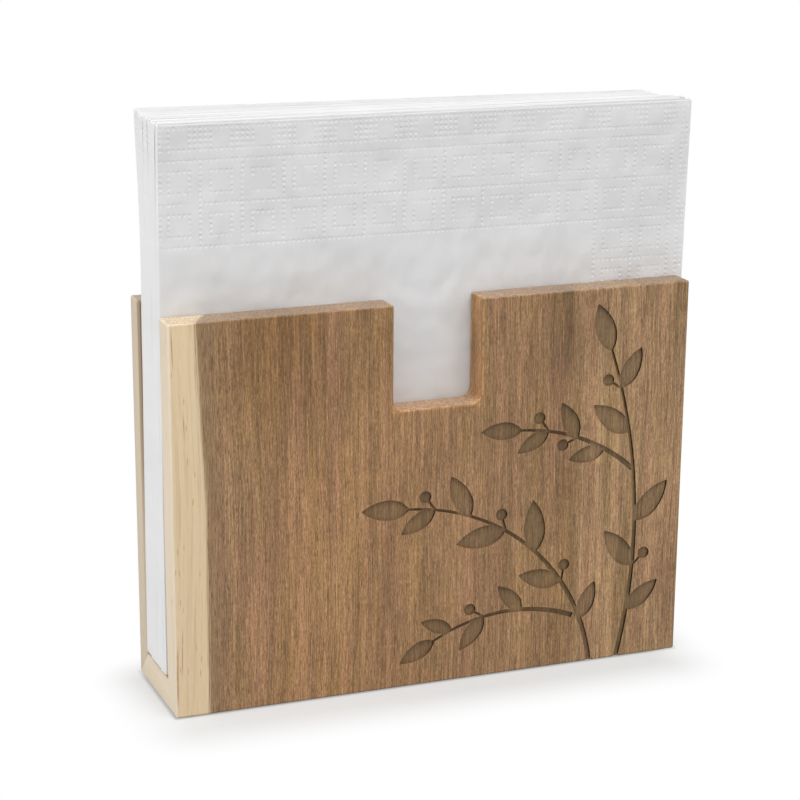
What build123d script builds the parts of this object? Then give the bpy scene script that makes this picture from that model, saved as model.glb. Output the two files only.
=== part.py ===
from build123d import *
import os
from math import atan2, degrees, sqrt

# Napkin holder: a thick board folded into a U at two mitred corners, filled with folded napkins.
# Millimetres. Origin at the centre of the base's underside, +X right, -Y to the front, +Z up.

# The boards
holder_width = 165.0  # X, along the slot
holder_height = 120.0  # Z, both upright boards
slot_depth = 22.0  # Y, clear space between the upright boards
board_thickness = 9.0
arris_radius = 0.6  # sanded edges
glue_line = 0.05  # gap at each mitre

# The finger notch at the top of the front board
notch_width = 28.0
notch_depth = 32.0
notch_corner_radius = 3.0

# The hidden tongue glued into each mitre
tongue_thickness = 2.5
tongue_width = 7.0  # across the mitre
tongue_stop = 10.0  # from each end of the holder
tongue_inset = 5.1  # its middle, from the mitre's inner corner
tongue_clearance = 0.05  # all round in its groove

# The napkins, each folded twice to a quarter of its sheet
napkin_sheet = 330.0  # the open sheet's side
napkin_thickness = 1.55
napkin_gap = 0.1  # between napkins of the stack
fold_radius = 0.7  # of the folded left and lower edges
pull_gap = 0.3  # between the front napkin and the stack
front_board_gap = 0.4  # between the front board and the front napkin
rear_board_gap = 1.0  # the least left behind the stack, which is as full as that lets it be
seat_gap = 0.1  # under the napkins
# the bundles that the napkins were put in by: how far back from the front board each reaches,
# and its shift along X
napkin_bundles = [(5.0, 2.2), (14.0, -0.2), (slot_depth, -0.9)]

# The carving on the front board. Points are (distance in from the right edge, height).
carving_depth = 0.9
stem_root_width = 1.7
stem_tip_width = 0.8
stalk_width = 0.8
leaf_fullness = 0.42  # width over length
leaf_widest = 0.42  # where it is widest, over its length
leaf_spread = 42.0  # degrees between a stem and what grows beside it
berry_radius = 1.9
berry_stalk = 5.5
carving_overrun = 1.0  # past the edge that a stem runs off
# each sprig: its root, a point half way and its tip; the side of its first leaf, the sides then
# alternating; its leaves as (share of the stem, length), the last one straight on from the tip;
# the shares where a berry faces a leaf
sprigs = [
    (
        [(30.0, -carving_overrun), (47.0, 36.0), (93.0, 57.0)],
        -1,
        [(0.17, 13), (0.33, 15), (0.48, 17), (0.62, 16.5), (0.76, 15), (0.89, 13), (0.98, 15.5)],
        [0.33, 0.62, 0.89],
    ),
    (
        [(21.0, -carving_overrun), (16.0, 52.0), (26.0, 102.0)],
        -1,
        [(0.16, 14), (0.30, 16), (0.44, 16.5), (0.72, 16), (0.86, 14), (0.98, 16)],
        [0.30, 0.58, 0.86],
    ),
    (
        [(36.3, 16.0), (62.0, 20.0), (84.0, 13.0)],
        -1,
        [(0.36, 12), (0.62, 13), (0.84, 11), (0.97, 13)],
        [0.62],
    ),
    (
        [(17.2, 62.0), (34.0, 73.0), (56.0, 78.0)],
        1,
        [(0.28, 12.5), (0.52, 13), (0.76, 12), (0.97, 13.5)],
        [0.52, 0.76],
    ),
]

half_depth = slot_depth / 2 + board_thickness
mitre_shift = glue_line / sqrt(2)  # half the glue line, measured straight up
right_edge = holder_width / 2
napkin_side = napkin_sheet / 2


def prism_along_x(outline):
    """A prism as long as the holder, from an outline in Y and Z."""
    face = make_face(Polyline(*outline, close=True))
    return extrude(Plane.YZ * face, amount=holder_width / 2 + board_thickness, both=True)


def whole_holder():
    """The U before it is parted at the mitres, with its notch and its rounded edges."""
    middle = Align.CENTER, Align.CENTER, Align.MIN
    body = Box(holder_width, 2 * half_depth, holder_height, align=middle)
    slot = Pos(0, 0, board_thickness) * Box(holder_width, slot_depth, holder_height, align=middle)
    notch = Pos(0, -half_depth, holder_height - notch_depth) * Box(
        notch_width, 2 * board_thickness, holder_height, align=middle
    )
    lower_corners = notch.edges().filter_by(Axis.Y).group_by(Axis.Z)[0]
    body = body - slot - fillet(lower_corners, notch_corner_radius)
    inner_corners = body.edges().filter_by(Axis.X).filter_by(
        lambda e: abs(e.center().Z - board_thickness) < arris_radius
    )
    return fillet(body.edges() - inner_corners, arris_radius)


def tongue_box(side, clearance):
    """The tongue in the front mitre (side -1) or the rear one (side 1), or its groove."""
    along_mitre = tongue_inset / sqrt(2)
    place = Pos(0, side * (slot_depth / 2 + along_mitre), board_thickness - along_mitre)
    return place * Rotation(45 * side, 0, 0) * Box(
        holder_width - 2 * tongue_stop + 2 * clearance,
        tongue_width + 2 * clearance,
        tongue_thickness + 2 * clearance,
    )


def leaf(heading, length):
    """A leaf pointed at both ends, its sides two arcs each that meet at its widest."""
    widest = length * leaf_widest
    half_width = length * leaf_fullness / 2
    sides = []
    for half in (half_width, -half_width):
        sides.append(TangentArc((widest, half), (length, 0), tangent=(1, 0)))
        sides.append(TangentArc((widest, half), (0, 0), tangent=(-1, 0)))
    return Rotation(0, 0, heading) * make_face(sides)


def berry(heading):
    """A round berry on its stalk."""
    stalk = Rectangle(berry_stalk, stalk_width, align=(Align.MIN, Align.CENTER))
    fruit = Pos(berry_stalk, 0) * Circle(berry_radius)
    return Rotation(0, 0, heading) * (stalk + fruit)


def stem(middle):
    """A stem along an arc, narrowing from its root to its tip."""
    half_widths = stem_root_width / 2, (stem_root_width + stem_tip_width) / 4, stem_tip_width / 2
    left, right = [
        [
            middle @ share + (middle % share).rotate(Axis.Z, 90) * side * half_width
            for share, half_width in zip((0, 0.5, 1), half_widths)
        ]
        for side in (1, -1)
    ]
    return make_face([
        ThreePointArc(*left),
        Line(left[-1], right[-1]),
        ThreePointArc(*right),
        Line(right[0], left[0]),
    ])


def sprig(points, first_side, leaves, berries):
    """One stem with its leaves and berries, as faces to be joined."""
    middle = ThreePointArc(*[(right_edge - inward, height) for inward, height in points])
    faces = [stem(middle)]
    for number, (share, length) in enumerate(leaves, start=1):
        along = middle % share
        ahead = degrees(atan2(along.Y, along.X))
        turn = 0 if number == len(leaves) else -first_side * (-1) ** number * leaf_spread
        faces.append(Pos(middle @ share) * leaf(ahead + turn, length))
        if share in berries:
            faces.append(Pos(middle @ share) * berry(ahead - turn))
    return faces


def carving():
    """Everything that is cut into the front board's face."""
    faces = [face for values in sprigs for face in sprig(*values)]
    drawing = Sketch() + faces
    front = Plane.XZ.offset(half_depth)
    return extrude(front * drawing, amount=carving_depth, both=True)


def boards():
    """The three boards, parted along both mitres."""
    whole = whole_holder() - carving()
    reach = holder_height + half_depth
    foot = half_depth - reach  # where the mitre's line stands under the outline's far corners
    front_outline = [
        (0, half_depth + mitre_shift),
        (0, reach),
        (-reach, reach),
        (-reach, foot + mitre_shift),
    ]
    rear_outline = [(-y, z) for y, z in front_outline]
    base_outline = [
        (0, half_depth - mitre_shift),
        (-reach, foot - mitre_shift),
        (reach, foot - mitre_shift),
    ]
    front_groove = tongue_box(-1, tongue_clearance)
    rear_groove = tongue_box(1, tongue_clearance)
    front = (whole & prism_along_x(front_outline)) - front_groove
    rear = (whole & prism_along_x(rear_outline)) - rear_groove
    base = (whole & prism_along_x(base_outline)) - front_groove - rear_groove
    return front, rear, base


def napkin(front_face, shift):
    """A folded napkin, from its front face's Y, with its folds at the left and at the bottom."""
    block = Pos(shift, front_face, board_thickness + seat_gap) * Box(
        napkin_side, napkin_thickness, napkin_side, align=(Align.CENTER, Align.MIN, Align.MIN)
    )
    left_fold = block.edges().filter_by(Axis.Z).group_by(Axis.X)[0]
    lower_fold = block.edges().filter_by(Axis.X).group_by(Axis.Z)[0]
    return fillet(left_fold + lower_fold, fold_radius)


def napkins():
    """All the napkins, from the front one back, as many as the slot takes."""
    front_board = -slot_depth / 2
    front_face = front_board + front_board_gap
    made = []
    while front_face + napkin_thickness <= slot_depth / 2 - rear_board_gap:
        shift = next(x for reach, x in napkin_bundles if front_face < front_board + reach)
        made.append(napkin(front_face, shift))
        front_face += napkin_thickness + (napkin_gap if len(made) > 1 else pull_gap)
    return made


front_panel, rear_panel, base_board = boards()
pieces = {
    "front_panel": front_panel,
    "rear_panel": rear_panel,
    "base_board": base_board,
    "front_mitre_tongue": tongue_box(-1, 0),
    "rear_mitre_tongue": tongue_box(1, 0),
}
for number, folded in enumerate(napkins(), start=1):
    pieces[f"napkin_{number:02d}"] = folded

os.makedirs("parts", exist_ok=True)
for name, piece in pieces.items():
    export_step(piece, f"parts/{name}.step")
    print(f"{name}: {piece.volume / 1000:.2f} cm3")
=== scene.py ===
import bpy
import math
import random
from mathutils import Matrix, Vector, noise


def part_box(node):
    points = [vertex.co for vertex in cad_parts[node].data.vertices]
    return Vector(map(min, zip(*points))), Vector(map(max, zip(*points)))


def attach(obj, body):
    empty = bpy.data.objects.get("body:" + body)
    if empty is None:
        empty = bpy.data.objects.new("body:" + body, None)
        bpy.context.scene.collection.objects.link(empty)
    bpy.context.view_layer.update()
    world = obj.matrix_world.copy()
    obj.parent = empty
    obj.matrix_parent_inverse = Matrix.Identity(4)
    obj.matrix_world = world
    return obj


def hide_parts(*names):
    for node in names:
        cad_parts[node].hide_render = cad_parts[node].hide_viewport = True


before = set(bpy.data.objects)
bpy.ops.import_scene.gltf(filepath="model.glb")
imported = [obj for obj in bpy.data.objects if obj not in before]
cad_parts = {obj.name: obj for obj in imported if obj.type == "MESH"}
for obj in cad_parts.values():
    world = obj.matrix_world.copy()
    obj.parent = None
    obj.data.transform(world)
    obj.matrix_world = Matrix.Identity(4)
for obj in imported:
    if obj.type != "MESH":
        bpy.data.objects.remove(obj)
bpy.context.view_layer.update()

mm = 0.001
print("frame loaded:", len(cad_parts), "CAD nodes")


def tone(red, green, blue):  # 0 to 255 as seen on screen, to the linear colour that a shader takes
    def linear(value):
        value = value / 255
        return value / 12.92 if value <= 0.04045 else ((value + 0.055) / 1.055) ** 2.4
    return (linear(red), linear(green), linear(blue), 1.0)


class Tree:  # short calls that add and join the nodes of one material or group
    def __init__(self, nodeTree):
        self.nodes = nodeTree.nodes
        self.links = nodeTree.links

    def feed(self, socket, value):
        if isinstance(value, bpy.types.NodeSocket):
            self.links.new(value, socket)
        elif value is not None:
            socket.default_value = value

    def add(self, kind, inputs=(), **settings):
        node = self.nodes.new("ShaderNode" + kind)
        for name, value in settings.items():
            setattr(node, name, value)
        for name, value in dict(inputs).items():
            self.feed(node.inputs[name], value)
        return node

    def math(self, operation, first, second=None, third=None):
        node = self.add("Math", operation=operation)
        for place, value in enumerate((first, second, third)):
            self.feed(node.inputs[place], value)
        return node.outputs[0]

    def product(self, *values):
        result = values[0]
        for value in values[1:]:
            result = self.math("MULTIPLY", result, value)
        return result

    def most(self, *values):
        result = values[0]
        for value in values[1:]:
            result = self.math("MAXIMUM", result, value)
        return result

    def vector(self, operation, first, second=None):
        node = self.add("VectorMath", operation=operation)
        self.feed(node.inputs[0], first)
        self.feed(node.inputs[1], second)
        return node.outputs[0]

    def parts(self, vector):
        return self.add("SeparateXYZ", {"Vector": vector}).outputs

    def step(self, value, low, high):  # smoothly from 0 at low to 1 at high; low may be the larger
        node = self.add("MapRange", interpolation_type="SMOOTHSTEP")
        self.feed(node.inputs["Value"], value)
        self.feed(node.inputs["From Min"], min(low, high))
        self.feed(node.inputs["From Max"], max(low, high))
        self.feed(node.inputs["To Min"], float(low > high))
        self.feed(node.inputs["To Max"], float(low < high))
        return node.outputs["Result"]

    def band(self, value, low, high, soft):  # 1 between low and high
        rise = self.step(value, low - soft, low + soft)
        fall = self.step(value, high + soft, high - soft)
        return self.product(rise, fall)

    def mix(self, share, first, second):
        node = self.add("Mix", data_type="RGBA")
        self.feed(node.inputs[0], share)
        self.feed(node.inputs[6], first)
        self.feed(node.inputs[7], second)
        return node.outputs[2]

    def shade(self, colour, value, amount):  # lighter where value is over a half, darker where it is under
        node = self.add("VectorMath", operation="SCALE")
        self.feed(node.inputs[0], colour)
        factor = self.math("MULTIPLY_ADD", self.math("MULTIPLY_ADD", value, 2.0, -1.0), amount, 1.0)
        self.feed(node.inputs["Scale"], factor)
        return node.outputs[0]

    def noise(self, place, cell, detail=2.0, rough=0.5):  # cell is its grain along each axis
        at = self.vector("DIVIDE", place, cell)
        inputs = {"Vector": at, "Scale": 1.0, "Detail": detail, "Roughness": rough}
        return self.add("TexNoise", inputs).outputs[0]

    def ramp(self, value, stops):
        node = self.add("ValToRGB", {"Fac": value})
        marks = node.color_ramp.elements
        while len(marks) < len(stops):
            marks.new(0.5)
        for mark, (place, colour) in zip(marks, stops):
            mark.position = place
            mark.color = colour
        return node.outputs["Color"]


def newGroup(name, inputs, outputs):
    group = bpy.data.node_groups.new(name, "ShaderNodeTree")
    for direction, sockets in (("INPUT", inputs), ("OUTPUT", outputs)):
        for label, kind in sockets.items():
            group.interface.new_socket(label, in_out=direction, socket_type="NodeSocket" + kind)
    t = Tree(group)
    return group, t, t.nodes.new("NodeGroupInput").outputs, t.nodes.new("NodeGroupOutput").inputs


def newMaterial(name):
    material = bpy.data.materials.new(name)
    material.use_nodes = True
    t = Tree(material.node_tree)
    shader = next(n for n in t.nodes if n.type == "BSDF_PRINCIPLED")
    return material, t, shader


def giveMaterial(node, material):
    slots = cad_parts[node].data.materials
    slots.clear()
    slots.append(material)


# the wood: one plank, its grain running up the front, under and up the back

wood = {
    "halfWidth": 82.5 * mm,
    "sway": 7 * mm,  # how far the figure wanders across the grain, in long waves
    "ripple": 0.7 * mm,  # and in short ones
    # the noises it is made of: the cell's size across and along the grain, detail and roughness
    "grains": {
        "sway": (70 * mm, 110 * mm, 1.0, 0.5),
        "ripple": (9 * mm, 60 * mm, 2.0, 0.5),
        "blush": (6 * mm, 70 * mm, 3.0, 0.5),
        "cloud": (16 * mm, 48 * mm, 2.0, 0.5),
        "broad": (3.2 * mm, 70 * mm, 2.0, 0.5),
        "lines": (0.9 * mm, 45 * mm, 2.0, 0.6),
        "threads": (0.7 * mm, 26 * mm, 1.0, 0.5),
        "hairs": (0.42 * mm, 24 * mm, 2.0, 0.6),
        "fibres": (0.3 * mm, 5 * mm, 2.0, 0.7),
        "grit": (0.3 * mm, 1.2 * mm, 1.0, 0.5),
        "ends": (0.8 * mm, 4 * mm, 3.0, 0.7),
    },
    # how strongly each of these lightens and darkens the heartwood
    "shades": {"cloud": 0.3, "broad": 0.5, "lines": 0.55, "fibres": 0.3, "grit": 0.2},
    "borderShade": 0.25,  # the same for the fibres beside the sapwood
    "sapShades": {"broad": 0.09, "fibres": 0.13},
    "endShade": 0.3,
    # between these values a noise is stretched to its full contrast
    "contrasts": {
        "fibres": (0.32, 0.68),
        "grit": (0.3, 0.7),
        "border": (0.34, 0.66),
        "checks": (0.3, 0.5),
        "ends": (0.36, 0.62),
    },
    # tints: the colour, its greatest share, and the values where that starts and is full, of
    # a noise or a cell's random number, or for the rim of x
    "tints": {
        "red": (tone(161, 119, 89), 0.5, 0.48, 0.66),
        "gold": (tone(150, 117, 73), 0.5, 0.52, 0.34),
        "flame": (tone(134, 98, 58), 0.75, 0.25, 0.6),
        "pale": (tone(186, 149, 112), 0.4, 0.52, 0.72),
        "dark": (tone(112, 82, 55), 0.6, 0.48, 0.28),
        "thread": (tone(86, 62, 42), 0.5, 0.62, 0.72),
        "streak": (tone(198, 168, 128), 0.6, 0.48, 0.72),  # in the sapwood
        "rim": (tone(225, 211, 191), 0.75, -81.6 * mm, -82.4 * mm),  # the outermost sapwood
        "fleck": (tone(168, 118, 72), 0.45, 0.965, 0.975),
    },
    # the flame is a browner streak below the top edge, left of the notch
    "flameSpan": (-62 * mm, -36 * mm),
    "flameSoft": 6 * mm,
    "flameRise": (72 * mm, 112 * mm),
    "threadsFrom": (0.45, 0.6),  # dark threads are in the right half, by share of the width
    "poreTone": tone(86, 62, 42),
    "poreCell": (0.5 * mm, 0.5 * mm, 3.6 * mm),  # pores are short dark dashes, one a cell at most
    "poreRim": (0.40, 0.20),  # from a dash's edge to where it is full
    "poreRare": 0.72,  # the share of the cells without one
    "poreCrowd": 0.2,  # how much more of them have one beside the sapwood
    "crowdFrom": (0.22, 0.08),
    "poreShare": 0.6,
    "sapEdge": -72.3 * mm,  # where the pale sapwood ends on the outer face
    "sapSlope": 0.6,  # how much wider it is per depth into the board
    "sapLean": -0.02,  # and per height up the front
    "sapRagged": 3 * mm,  # how far hairs of the two woods reach into each other
    "sapSoft": (-0.7 * mm, 1.0 * mm),
    "sapTone": tone(221, 198, 162),
    "borderTone": tone(142, 115, 84),  # the heartwood next to it
    "borderShare": 0.85,
    "borderReach": (8 * mm, -1 * mm),
    # soft areas of the heartwood: across from and to, along from and to, how much paler
    "patches": [
        (-75 * mm, 95 * mm, 96 * mm, 170 * mm, -0.10),
        (-58 * mm, -44 * mm, 84 * mm, 170 * mm, -0.10),
        (34 * mm, 47 * mm, 90 * mm, 170 * mm, -0.16),
        (-52 * mm, -22 * mm, -60 * mm, 84 * mm, 0.10),
    ],
    "patchSoft": (5 * mm, 14 * mm),  # how soft their edges are across and along
    "endTone": tone(156, 146, 136),  # what the end grain turns to
    "endShare": 0.35,
    "endDark": (50 * mm, 74 * mm),  # over this stretch it gets darker
    "endDarker": 0.17,
    "rearTint": (0.82, 0.82, 0.81),  # the rear board is a little darker
    "rearShadeStrip": 12.3 * mm,  # and painted shade darkens its ends in front of here, beside the napkins
    "rearShadeStripSoft": 0.8 * mm,
    "rearShadeStripShare": (0.2, 0.55),  # at its foot, and how much more at its top
    "rearShadeStripRise": (20 * mm, 90 * mm),
    "roughness": (0.5, 0.14),  # the least, and how much the fibres add
    "specular": 0.35,
    "relief": 0.08 * mm,
    "poreRelief": 0.8,
    # tones across the heartwood, by share of the width from the left
    "bands": [
        (0.05, tone(154, 123, 90)),
        (0.13, tone(154, 120, 85)),
        (0.20, tone(151, 114, 78)),
        (0.42, tone(155, 118, 81)),
        (0.58, tone(155, 120, 85)),
        (0.71, tone(151, 118, 83)),
        (0.755, tone(138, 106, 75)),
        (0.80, tone(167, 135, 98)),
        (0.90, tone(163, 131, 95)),
        (1.00, tone(162, 130, 95)),
    ],
    # short brown checks near the left edge: across, along from and to, half their width
    "checks": [
        (-81.7 * mm, 108 * mm, 118 * mm, 0.16 * mm),
        (-81.6 * mm, 5 * mm, 21 * mm, 0.2 * mm),
        (-80.2 * mm, 14 * mm, 27 * mm, 0.12 * mm),
        (-79.2 * mm, 87 * mm, 93 * mm, 0.14 * mm),
    ],
    "checkTone": tone(168, 118, 72),
    "checkShare": 0.8,
    "checkSoft": 3 * mm,  # how softly they end
    "checkDepth": (1.5 * mm, 0.5 * mm),  # where they end in the board, and where they are full
}


def acaciaFigure():  # x across the grain, y into the board, z along the grain, in metres
    group, t, given, out = newGroup(
        "acaciaFigure", {"Vector": "Vector", "EndGrain": "Float"},
        {"Color": "Color", "Roughness": "Float", "Height": "Float"},
    )
    shades, contrasts = wood["shades"], wood["contrasts"]

    def grain(name, at):
        wide, long, detail, rough = wood["grains"][name]
        return t.noise(at, (wide, wide, long), detail, rough)

    def tinted(colour, name, value, *where):
        other, most, start, full = wood["tints"][name]
        return t.mix(t.product(*where, t.step(value, start, full), most), colour, other)

    place = given["Vector"]
    x, y, z = t.parts(place)
    across = t.math("MULTIPLY_ADD", grain("sway", place), wood["sway"], x)
    across = t.math("MULTIPLY_ADD", grain("ripple", place), wood["ripple"], across)
    across = t.math("SUBTRACT", across, (wood["sway"] + wood["ripple"]) / 2)
    warped = t.add("CombineXYZ", {"X": across, "Y": y, "Z": z}).outputs[0]
    share = t.math("MULTIPLY_ADD", across, 0.5 / wood["halfWidth"], 0.5)
    blush, cloud, broad, lines, threads, hairs = [
        grain(name, warped) for name in ("blush", "cloud", "broad", "lines", "threads", "hairs")
    ]
    fibres, grit = grain("fibres", place), grain("grit", place)

    heart = t.ramp(share, wood["bands"])
    heart = tinted(heart, "red", blush)
    heart = tinted(heart, "gold", blush)
    heart = t.shade(heart, cloud, shades["cloud"])
    flame = t.band(across, *wood["flameSpan"], wood["flameSoft"])
    flame = t.product(flame, t.step(z, *wood["flameRise"]))
    heart = tinted(heart, "flame", cloud, flame)
    softAcross, softAlong = wood["patchSoft"]
    for left, right, low, high, paler in wood["patches"]:
        patch = t.product(t.band(across, left, right, softAcross), t.band(z, low, high, softAlong))
        heart = t.shade(heart, 1.0, t.product(patch, paler))
    heart = t.shade(heart, broad, shades["broad"])
    heart = t.shade(heart, lines, shades["lines"])
    heart = tinted(heart, "pale", hairs)
    heart = tinted(heart, "dark", hairs)
    heart = tinted(heart, "thread", threads, t.step(share, *wood["threadsFrom"]))
    heart = t.shade(heart, t.step(fibres, *contrasts["fibres"]), shades["fibres"])
    heart = t.shade(heart, t.step(grit, *contrasts["grit"]), shades["grit"])

    dashAt = t.vector("DIVIDE", place, wood["poreCell"])
    cells = t.add("TexVoronoi", {"Vector": dashAt, "Scale": 1.0}).outputs
    pick = t.parts(cells["Color"])
    dash = t.step(cells["Distance"], *wood["poreRim"])
    crowd = t.step(share, *wood["crowdFrom"])
    chosen = t.math("MULTIPLY_ADD", crowd, wood["poreCrowd"], pick[0])
    pore = t.product(dash, t.step(chosen, wood["poreRare"], 1.0))

    edge = t.math("MULTIPLY_ADD", y, wood["sapSlope"], wood["sapEdge"])
    edge = t.math("MULTIPLY_ADD", z, wood["sapLean"], edge)
    inward = t.math("SUBTRACT", across, edge)
    ragged = t.math("SUBTRACT", inward, wood["sapRagged"] / 2)
    isHeart = t.step(t.math("MULTIPLY_ADD", hairs, wood["sapRagged"], ragged), *wood["sapSoft"])
    fibrous = t.step(fibres, *contrasts["border"])
    border = t.shade(wood["borderTone"][:3], fibrous, wood["borderShade"])
    nearSap = t.product(t.step(inward, *wood["borderReach"]), wood["borderShare"])
    heart = t.mix(nearSap, heart, border)
    heart = t.mix(t.product(pore, wood["poreShare"]), heart, wood["poreTone"])

    sap = tinted(wood["sapTone"], "streak", lines)
    sap = tinted(sap, "rim", x)
    sap = t.shade(sap, broad, wood["sapShades"]["broad"])
    sap = t.shade(sap, fibres, wood["sapShades"]["fibres"])
    sap = tinted(sap, "fleck", pick[1], dash)
    checks = t.most(*[
        t.product(t.band(across, middle - half, middle + half, half),
                  t.band(z, low, high, wood["checkSoft"]))
        for middle, low, high, half in wood["checks"]
    ])
    onFace = t.step(y, *wood["checkDepth"])
    broken = t.step(fibres, *contrasts["checks"])
    checks = t.product(checks, onFace, broken, wood["checkShare"])
    sap = t.mix(checks, sap, wood["checkTone"])

    colour = t.mix(isHeart, sap, heart)
    speckled = t.mix(wood["endShare"], colour, wood["endTone"])
    speckles = t.step(grain("ends", place), *contrasts["ends"])
    speckled = t.shade(speckled, speckles, wood["endShade"])
    speckled = t.shade(speckled, 0.0, t.product(t.step(x, *wood["endDark"]), wood["endDarker"]))
    t.feed(out["Color"], t.mix(given["EndGrain"], colour, speckled))
    least, more = wood["roughness"]
    t.feed(out["Roughness"], t.math("MULTIPLY_ADD", fibres, more, least))
    hollow = t.product(pore, isHeart, wood["poreRelief"])
    t.feed(out["Height"], t.math("SUBTRACT", t.product(fibres, 0.5), hollow))
    return group


carved = {
    "face": -20 * mm,  # the front board's face and the carving's floor, along y
    "floor": -19.1 * mm,
    "floorReach": 0.04 * mm,  # what is this near the floor is the floor
    "faceReach": 0.05 * mm,
    # the carving lies within these, clear of the rounded edges
    "side": 81.8 * mm,
    "top": 119.2 * mm,
    "foot": 0.8 * mm,
    "notchSide": 14.8 * mm,  # and outside these, the notch with its edges
    "notchFoot": 87.2 * mm,
    "hair": 0.01 * mm,  # how sharp these limits are
    "notchPaintedLight": (1.27, 1.2, 1.1),  # painted light: the notch's walls and arrises are paler
    "floorTone": tone(104, 88, 64),
    "floorShare": 0.52,
    "grime": 0.3,  # how much that share varies
    "grimeCell": (2.5 * mm, 2.5 * mm, 9 * mm),
    "shadedCharTone": tone(44, 29, 18),  # burnt char with painted shade, for walls that look down or to the left
    # burnt char with painted light, for walls that look up or to the right
    "litCharTone": tone(118, 91, 62),
    "charShadeTurn": (-0.6, 0.9),
    "rougher": 0.25,
}


def carvedCharAndShade():  # burnt walls with painted shade on those that look down or to the left, and a dull floor, wherever the front is cut away; painted light on the notch
    group, t, given, out = newGroup(
        "carvedCharAndShade",
        {"Color": "Color", "Place": "Vector", "Normal": "Vector", "Roughness": "Float"},
        {"Color": "Color", "Roughness": "Float"},
    )
    x, y, z = t.parts(given["Place"])
    facing = t.parts(given["Normal"])
    hair = carved["hair"]
    aside = t.math("ABSOLUTE", x)
    inside = t.product(t.step(aside, carved["side"] + hair, carved["side"]),
                       t.step(z, carved["top"] + hair, carved["top"]))
    inNotch = t.product(t.step(aside, carved["notchSide"] + hair, carved["notchSide"]),
                        t.step(z, carved["notchFoot"], carved["notchFoot"] + hair))
    inside = t.product(inside, t.math("SUBTRACT", 1.0, inNotch))
    floorFrom = carved["floor"] - carved["floorReach"]
    onFloor = t.band(y, floorFrom, carved["floor"] + carved["floorReach"], hair)
    onWall = t.band(y, carved["face"] + carved["faceReach"], floorFrom, hair)
    isFloor = t.product(inside, onFloor)
    isWall = t.product(inside, onWall, t.step(z, carved["foot"], carved["foot"] + hair))

    grime = t.noise(given["Place"], carved["grimeCell"], detail=3.0)
    leastShare = carved["floorShare"] - carved["grime"] / 2
    share = t.math("MULTIPLY_ADD", grime, carved["grime"], leastShare)
    floorTone = t.mix(share, given["Color"], carved["floorTone"])
    # painted light: the notch and its rim are made paler
    paler = t.vector("MULTIPLY", given["Color"], carved["notchPaintedLight"])
    # painted shade: the char is darkest on walls that look down or to the left, paler on those that look
    # up or to the right
    turned = t.step(t.math("ADD", facing[0], facing[2]), *carved["charShadeTurn"])
    charAndShade = t.mix(turned, carved["shadedCharTone"], carved["litCharTone"])
    colour = t.mix(inNotch, given["Color"], paler)
    colour = t.mix(isFloor, colour, floorTone)
    colour = t.mix(isWall, colour, charAndShade)
    t.feed(out["Color"], colour)
    cut = t.most(isFloor, isWall)
    t.feed(out["Roughness"], t.math("MULTIPLY_ADD", cut, carved["rougher"], given["Roughness"]))
    return group


woodFigure = acaciaFigure()
woodCarved = carvedCharAndShade()

# each board turns the plank's figure its own way round the mitres: degrees, then a shift
# and the axis that its grain runs along
boardTurns = {
    "front_panel": ((0, 0, 0), (0, 20 * mm, 0), "z"),
    "base_board": ((-90, 0, 0), (0, 0, -20 * mm), "y"),
    "rear_panel": ((180, 0, 0), (0, 20 * mm, -40 * mm), "z"),
    "front_mitre_tongue": ((0, 90, 0), (0.3, 0, 0), "x"),
    "rear_mitre_tongue": ((0, 90, 0), (0.5, 0, 0), "x"),
}


def rearColour(t, coords, colour):
    x, y, z = t.parts(coords["Object"])
    # painted shade: the rear board's ends turn toward the heartwood tone beside the napkins, more higher
    # up
    inShadeStrip = t.step(y, wood["rearShadeStrip"] + wood["rearShadeStripSoft"], wood["rearShadeStrip"])
    least, more = wood["rearShadeStripShare"]
    share = t.math("MULTIPLY_ADD", t.step(z, *wood["rearShadeStripRise"]), more, least)
    tinted = t.vector("MULTIPLY", colour, wood["rearTint"])
    return t.mix(t.product(inShadeStrip, share), tinted, wood["borderTone"])


def boardMaterial(node):
    turn, shift, grain = boardTurns[node]
    material, t, shader = newMaterial("acacia_" + node)
    coords = t.add("TexCoord").outputs
    turned = t.add("Mapping", {
        "Vector": coords["Object"], "Location": shift, "Rotation": [math.radians(a) for a in turn],
    }).outputs[0]
    facing = t.math("ABSOLUTE", t.parts(coords["Normal"])["xyz".index(grain)])
    figure = t.add("Group", {"Vector": turned, "EndGrain": t.step(facing, 0.6, 0.95)},
                   node_tree=woodFigure).outputs
    colour, roughness = figure["Color"], figure["Roughness"]
    if node == "rear_panel":
        colour = rearColour(t, coords, colour)
    if node in ("front_panel", "base_board"):
        carvedShaded = t.add("Group", {
            "Color": colour, "Roughness": roughness,
            "Place": coords["Object"], "Normal": coords["Normal"],
        }, node_tree=woodCarved).outputs
        colour, roughness = carvedShaded["Color"], carvedShaded["Roughness"]
    t.feed(shader.inputs["Base Color"], colour)
    t.feed(shader.inputs["Roughness"], roughness)
    shader.inputs["Specular IOR Level"].default_value = wood["specular"]
    bump = t.add("Bump", {"Height": figure["Height"], "Strength": 0.3, "Distance": wood["relief"]})
    t.feed(shader.inputs["Normal"], bump.outputs[0])
    return material


for node in boardTurns:
    giveMaterial(node, boardMaterial(node))
print("boards done")


# the napkins: square tissue sheets folded in four, in the three bundles they were put in by

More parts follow.
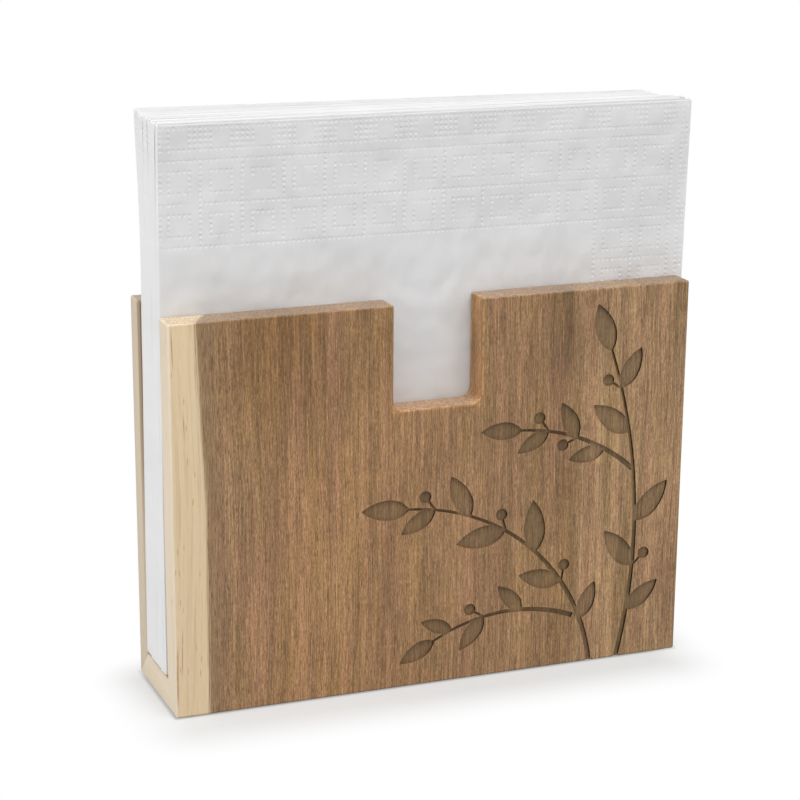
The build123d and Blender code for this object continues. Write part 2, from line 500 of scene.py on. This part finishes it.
napkin = {
    "count": 12,
    "sheet": 330 * mm,
    "layerPitch": 0.4 * mm,  # between the four layers
    "tissue": 0.39 * mm,  # one layer's thickness
    "cell": 5 * mm,  # of the mesh, away from the folds
    "foldCells": 4,  # of it on each side of a fold
    "freeFrom": 121 * mm,  # the height where the boards no longer hold them
    "rise": 53 * mm,  # from there to their top
    "bow": 0.6,  # over it they bend as an S does up to this share of its length
    "frontLean": 0.9 * mm,  # the front one leans forward at its top
    "rearLean": 3.8 * mm,  # and the last one back
    "leftMore": 0.5,  # by this share more at its left end
    "wave": 0.7 * mm,
    "waveLength": 38 * mm,
    "waveSeed": 3.5,
    # waves of single edges, how far and how long: left folds, right edges and top edges
    "foldWave": (0.2 * mm, 30 * mm),
    "sideWave": (0.2 * mm, 50 * mm),
    "topWave": (0.12 * mm, 45 * mm),
    # the most by which chance shifts things in a napkin, drawn in this order: its layers up and
    # across, its left fold, and that fold's front and rear pair of layers against each other
    "chance": {"up": 0.06 * mm, "across": 0.1 * mm, "fold": 0.06 * mm, "pairs": 0.06 * mm},
    "pairsOver": 8 * mm,  # how softly the last of these grows above the lower fold
    # by bundle: its last napkin, degrees that it tilts to the right, how much lower its front
    # layers end, how much further right its outer layers end, the shift of its left fold, how
    # much narrower the creases draw it, and how much lower its right end is
    "bundles": [
        {"last": 3, "tilt": 0.35, "lower": 0.15 * mm, "further": 2.0 * mm,
         "fold": -2.6 * mm, "drawn": 0.0, "drop": 0.1 * mm},
        {"last": 9, "tilt": 0.45, "lower": 0.05 * mm, "further": 0.0,
         "fold": -0.3 * mm, "drawn": 3.0 * mm, "drop": 0.7 * mm},
        {"last": 12, "tilt": 0.58, "lower": -0.05 * mm, "further": 0.0,
         "fold": 0.4 * mm, "drawn": 3.2 * mm, "drop": 0.8 * mm},
    ],
}


def linesFrom(fold, bend):  # where the mesh's lines run over the sheet, close together at the fold
    def oneSide(length):
        count = round((length - bend) / napkin["cell"])
        near = [bend * k / napkin["foldCells"] for k in range(1, napkin["foldCells"] + 1)]
        return near + [bend + (length - bend) * k / count for k in range(1, count + 1)]

    half = napkin["sheet"] / 2
    left, right = oneSide(half + fold), oneSide(half - fold)
    return [fold - x for x in reversed(left)] + [fold] + [fold + x for x in right]


def foldedInFour(u, v):  # where a point of the open sheet, u right and v up, is once it is folded
    a = napkin["layerPitch"] / 2
    bend = math.pi * a / 2
    if abs(u) <= bend:
        x, side = a * (1 - math.cos(u / a)), a * math.sin(u / a)
    else:
        x, side = a + abs(u) - bend, math.copysign(a, u)
    radius = 2 * a + side
    bend = math.pi * radius / 2
    if abs(v) <= bend:
        y, z = radius * math.sin(v / radius), 3 * a - radius * math.cos(v / radius)
    else:
        y, z = math.copysign(radius, v), 3 * a + abs(v) - bend
    return Vector((x, y, z))


def smooth(value):
    value = min(1.0, max(0.0, value))
    return value * value * (3 - 2 * value)


def wavy(x, z, length, seed):
    return noise.noise(Vector((x / length, z / length, seed)))


def leanOf(number, x, z):  # how far back a napkin leans at a point of it
    rise = (z - napkin["freeFrom"]) / napkin["rise"]
    free = smooth(rise * napkin["bow"]) / smooth(napkin["bow"])
    wave = napkin["wave"] * (0.5 + wavy(x, z, napkin["waveLength"], napkin["waveSeed"]))
    if number == 1:
        return free * (-napkin["frontLean"] - wave)
    share = (number - 2) / (napkin["count"] - 2)
    toLeft = 1 - napkin["leftMore"] * x / (napkin["sheet"] / 2)
    return free * share * (napkin["rearLean"] * toLeft + wave)


def makeNapkin(number):
    node = "napkin_%02d" % number
    low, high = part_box(node)
    half = napkin["sheet"] / 2
    bundle = next(values for values in napkin["bundles"] if number <= values["last"])
    dice = random.Random(number)
    up, aside, fold, pairs = [dice.uniform(-most, most) for most in napkin["chance"].values()]
    slipUp, slipAside = bundle["lower"] + up, bundle["further"] + aside
    narrower, lower = 1 - bundle["drawn"] / half, bundle["drop"] / half ** 2
    bend = math.pi / 2 * 1.5 * napkin["layerPitch"]  # half the outer layers' arc at a fold
    columns, rows = linesFrom(-slipAside, bend), linesFrom(-slipUp, bend)
    foldWave, foldLength = napkin["foldWave"]
    sideWave, sideLength = napkin["sideWave"]
    topWave, topLength = napkin["topWave"]
    foot = Vector((high.x, 0, low.z))
    turn = Matrix.Rotation(math.radians(bundle["tilt"]), 3, "Y")
    vertices = []
    for v in rows:
        for u in columns:
            point = foldedInFour(u + slipAside, v + slipUp)
            layer = number * 4 + (u > 0) + 2 * (v > 0) + 0.5
            nearTop, nearSide = (abs(v) / half) ** 6, (abs(u) / half) ** 6  # 0 but at the edges
            x = low.x + point.x * narrower + bundle["fold"] + fold
            x += pairs * math.tanh(v / napkin["pairsOver"])
            x += foldWave * wavy(0, point.z, foldLength, number)
            x += sideWave * nearSide * wavy(0, point.z, sideLength, layer)
            z = low.z + point.z * (1 - lower * point.x) + napkin["tissue"] / 2
            z += topWave * nearTop * wavy(point.x, 0, topLength, layer)
            y = (low.y + high.y) / 2 + point.y + leanOf(number, x, z)
            vertices.append(foot + turn @ (Vector((x, y, z)) - foot))
    count = len(columns)
    faces = [
        (r * count + c, r * count + c + 1, (r + 1) * count + c + 1, (r + 1) * count + c)
        for r in range(len(rows) - 1) for c in range(count - 1)
    ]
    mesh = bpy.data.meshes.new("folded_" + node)
    mesh.from_pydata(vertices, [], faces)
    flat = mesh.uv_layers.new(name="sheet")
    for loop in mesh.loops:
        row, column = divmod(loop.vertex_index, count)
        flat.data[loop.index].uv = (columns[column] / (2 * half) + 0.5, rows[row] / (2 * half) + 0.5)
    piece = bpy.data.objects.new("folded_" + node, mesh)
    bpy.context.scene.collection.objects.link(piece)
    bpy.ops.object.select_all(action="DESELECT")
    piece.select_set(True)
    bpy.context.view_layer.objects.active = piece
    wall = piece.modifiers.new("tissue", "SOLIDIFY")
    wall.thickness = napkin["tissue"]
    wall.offset = 0
    bpy.ops.object.modifier_apply(modifier="tissue")
    bpy.ops.object.shade_smooth_by_angle(angle=math.radians(50))
    piece.data.materials.append(paperTissue)
    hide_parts(node)
    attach(piece, "front_napkin" if number == 1 else "napkin_stack")


emboss = {
    "pitch": 1.55 * mm,
    "repeat": 8,  # dots from one line to the next
    "square": (0, 4),  # of these, the first and last that are in a square's side
    "line": 6,  # and the one that is in the line between squares
    "outer": (0, 4),  # rows of dots at the sheet's edge: a band of blocks between two lines
    "blockShift": 4,  # of its blocks, against the squares
    "border": (6, 22),  # rows of dots that the lines and squares fill
    "firstRow": 0.15,  # of a pitch, where the pattern starts at the sheet's edge
    "trimmed": 3,  # dots that are cut off at the other two edges
    "rim": (0.40, 0.14),  # from a dot's edge to where it is deepest, in pitches
}


def embossedDots():  # how deep the sheet is pressed at a point of it, 0 to 1
    group, t, given, out = newGroup("embossedDots", {"Sheet": "Vector"}, {"Depth": "Float"})
    middle = (0.5, 0.5, 0.0)
    fromMiddle = t.vector("ABSOLUTE", t.vector("SUBTRACT", given["Sheet"], middle))
    fromEdge = t.vector("SUBTRACT", middle, fromMiddle)
    counts = t.vector("MULTIPLY", fromEdge, [napkin["sheet"] / emboss["pitch"]] * 2 + [0])
    begin = (emboss["trimmed"] - emboss["firstRow"], -emboss["firstRow"], 0)
    counts = t.vector("ADD", counts, begin)
    column, row = t.parts(t.vector("FLOOR", counts))[:2]
    offset = t.vector("SUBTRACT", t.vector("FRACTION", counts), middle)
    away = t.add("VectorMath", {0: offset}, operation="LENGTH").outputs["Value"]
    dot = t.step(away, *emboss["rim"])

    def isIn(value, first, last):  # a whole number from first to last
        above = t.math("GREATER_THAN", value, first - 0.5)
        return t.product(above, t.math("LESS_THAN", value, last + 0.5))

    def isEnd(value, first, last):
        return t.most(isIn(value, first, first), isIn(value, last, last))

    def cycle(value, shift=0):
        shifted = t.math("ADD", value, float(shift))
        return t.math("FLOORED_MODULO", shifted, float(emboss["repeat"]))

    def blocks(value):
        return isIn(cycle(value, emboss["blockShift"]), *emboss["square"])

    inTop, inSide = isIn(row, *emboss["outer"]), isIn(column, *emboss["outer"])
    top = t.product(inTop, t.most(blocks(column), isEnd(row, *emboss["outer"])))
    side = t.product(inSide, t.most(blocks(row), isEnd(column, *emboss["outer"])))
    side = t.product(side, t.math("SUBTRACT", 1.0, inTop))
    within, ends, lines = [], [], []
    for part in (cycle(column), cycle(row)):
        within.append(isIn(part, *emboss["square"]))
        ends.append(isEnd(part, *emboss["square"]))
        lines.append(isIn(part, emboss["line"], emboss["line"]))
    squares = t.product(*within, t.most(*ends))
    inBorder = isIn(t.math("MINIMUM", column, row), *emboss["border"])
    border = t.product(inBorder, t.most(*lines, squares))
    t.feed(out["Depth"], t.product(dot, t.most(top, side, border)))
    return group


tissueLook = {
    "tone": (0.745, 0.745, 0.75, 1),
    "pressed": (0.79, 0.79, 0.795, 1),  # in the dots
    "dotDepth": 0.15 * mm,
    "firmCell": (7 * mm, 7 * mm, mm),  # the dots are weaker where the sheet was pressed less
    "firm": (0.2, 0.6),
    "crumple": 5.0 * mm,
    "crumpleCell": (17 * mm, 24 * mm, mm),
    "crumpleShade": 0.03,
    "crepe": 0.04 * mm,
    "crepeCell": (0.5 * mm, 0.3 * mm, mm),
    "roughness": (0.85, 0.1),  # the least, and how much the crepe adds
    "specular": 0.2,
    "scatter": 0.4,
    "scatterReach": 1.2 * mm,
}


def tissueMaterial():
    material, t, shader = newMaterial("paperTissue")
    coords = t.add("TexCoord").outputs
    depth = t.add("Group", {"Sheet": coords["UV"]}, node_tree=embossedDots()).outputs["Depth"]
    sheet = t.vector("MULTIPLY", coords["UV"], [napkin["sheet"]] * 2 + [0])
    crepe = t.noise(sheet, tissueLook["crepeCell"], detail=3.0, rough=0.6)
    crumple = t.noise(sheet, tissueLook["crumpleCell"], detail=2.0, rough=0.45)
    firm = t.noise(sheet, tissueLook["firmCell"])
    depth = t.product(depth, t.step(firm, *tissueLook["firm"]))
    colour = t.mix(depth, tissueLook["tone"], tissueLook["pressed"])
    t.feed(shader.inputs["Base Color"], t.shade(colour, crumple, tissueLook["crumpleShade"]))
    least, more = tissueLook["roughness"]
    t.feed(shader.inputs["Roughness"], t.math("MULTIPLY_ADD", crepe, more, least))
    shader.inputs["Specular IOR Level"].default_value = tissueLook["specular"]
    shader.inputs["Subsurface Weight"].default_value = tissueLook["scatter"]
    shader.inputs["Subsurface Radius"].default_value = (1, 1, 1)
    shader.inputs["Subsurface Scale"].default_value = tissueLook["scatterReach"]
    normal = None
    for height, strength, distance in (
        (crumple, 0.5, tissueLook["crumple"]),
        (crepe, 0.35, tissueLook["crepe"]),
        (t.math("SUBTRACT", 1.0, depth), 0.8, tissueLook["dotDepth"]),
    ):
        inputs = {"Height": height, "Strength": strength, "Distance": distance, "Normal": normal}
        normal = t.add("Bump", inputs).outputs[0]
    t.feed(shader.inputs["Normal"], normal)
    return material


paperTissue = tissueMaterial()
for number in range(1, napkin["count"] + 1):
    makeNapkin(number)
print("napkins done")


# the room, the lamps and the camera

view = {
    "turn": -20.24,  # degrees from the front, negative to the left
    "rise": 17.40,
    "distance": 716.0 * mm,
    "aim": (-20.7 * mm, 0, 63.57 * mm),
    "lens": 105.7,
    "shift": (0.0638, 0.0924),
}
lamps = {
    "key": {"place": (0.02, -0.38, 1.0), "size": 0.8, "power": 7.8},
    "fill": {"place": (-1.05, -0.12, 0.35), "size": 0.7, "power": 3.9},
}
lampAim = Vector((0, 0, 70 * mm))
world = {"strength": 0.66}
floorLook = {
    "size": 6.0,
    "seen": (0.63, 0.635, 0.64, 1),  # by the camera
    "bounced": (0.5, 0.5, 0.5, 1),  # by the light that it throws back
    "shadowShare": 0.9,
    # the shade lies round a box on the floor, by its middle and half its size, over this reach
    "shadowMiddle": (-3 * mm, -9 * mm, 0),
    "shadowHalf": (76 * mm, 20 * mm, 0),
    "shadowReach": (-5 * mm, 23 * mm),
    "foot": (82.5 * mm, 20 * mm, 0),  # half the size of what stands on it
    "contactShadow": 1.5 * mm,  # how far a painted contact shadow goes round the foot
    "contactShadowShare": 0.55,
}


def makeFloor():
    bpy.ops.object.select_all(action="DESELECT")
    bpy.ops.mesh.primitive_plane_add(size=floorLook["size"], location=(0, 0, 0))
    floor = bpy.context.active_object
    floor.name = "floor"
    material = bpy.data.materials.new("paleFloor")
    material.use_nodes = True
    t = Tree(material.node_tree)
    t.nodes.clear()
    seen = t.add("LightPath").outputs["Is Camera Ray"]
    place = t.add("TexCoord").outputs["Object"]

    def awayFrom(middle, half):  # the distance from a box
        beside = t.vector("ABSOLUTE", t.vector("SUBTRACT", place, middle))
        beside = t.vector("MAXIMUM", t.vector("SUBTRACT", beside, half), (0, 0, 0))
        return t.add("VectorMath", {0: beside}, operation="LENGTH").outputs["Value"]

    # painted shadow: the floor is darker in a thin line round the foot
    line = t.step(awayFrom((0, 0, 0), floorLook["foot"]), floorLook["contactShadow"], 0.0)
    darker = t.shade(floorLook["seen"][:3], 0.0, t.product(line, floorLook["contactShadowShare"]))
    plain = t.add("BsdfDiffuse", {"Color": t.mix(seen, floorLook["bounced"], darker)})
    glow = t.add("Emission", {"Color": (1, 1, 1, 1), "Strength": 1.0})
    away = awayFrom(floorLook["shadowMiddle"], floorLook["shadowHalf"])
    shown = t.product(t.step(away, *reversed(floorLook["shadowReach"])), floorLook["shadowShare"])
    share = t.product(seen, t.math("SUBTRACT", 1.0, shown))
    both = t.add("MixShader", {0: share, 1: plain.outputs[0], 2: glow.outputs[0]})
    t.add("OutputMaterial", {"Surface": both.outputs[0]})
    floor.data.materials.append(material)


def makeWorld():
    studio = bpy.data.worlds.new("studio")
    studio.use_nodes = True
    bpy.context.scene.world = studio
    t = Tree(studio.node_tree)
    t.nodes.clear()
    rays = t.add("LightPath")
    seen = t.most(rays.outputs["Is Camera Ray"], rays.outputs["Is Glossy Ray"])
    strength = t.math("MULTIPLY_ADD", seen, 1 - world["strength"], world["strength"])
    back = t.add("Background", {"Color": (1, 1, 1, 1), "Strength": strength})
    t.add("OutputWorld", {"Surface": back.outputs[0]})


def makeLamp(name, values):
    light = bpy.data.lights.new(name, "AREA")
    light.size = values["size"]
    light.energy = values["power"]
    lamp = bpy.data.objects.new(name, light)
    bpy.context.scene.collection.objects.link(lamp)
    lamp.location = values["place"]
    lamp.rotation_euler = (lampAim - lamp.location).to_track_quat("-Z", "Y").to_euler()


def makeCamera():
    turn, rise = math.radians(view["turn"]), math.radians(view["rise"])
    away = Vector((math.sin(turn) * math.cos(rise), -math.cos(turn) * math.cos(rise), math.sin(rise)))
    data = bpy.data.cameras.new("photoCamera")
    data.lens = view["lens"]
    data.sensor_width = 36
    data.shift_x, data.shift_y = view["shift"]
    data.clip_start = 0.01
    camera = bpy.data.objects.new("photoCamera", data)
    bpy.context.scene.collection.objects.link(camera)
    camera.location = Vector(view["aim"]) + away * view["distance"]
    camera.rotation_euler = away.to_track_quat("Z", "Y").to_euler()
    bpy.context.scene.camera = camera


makeFloor()
makeWorld()
for name, values in lamps.items():
    makeLamp(name + "Lamp", values)
makeCamera()
bpy.context.scene.view_settings.view_transform = "Standard"
print("room, lamps and camera done")
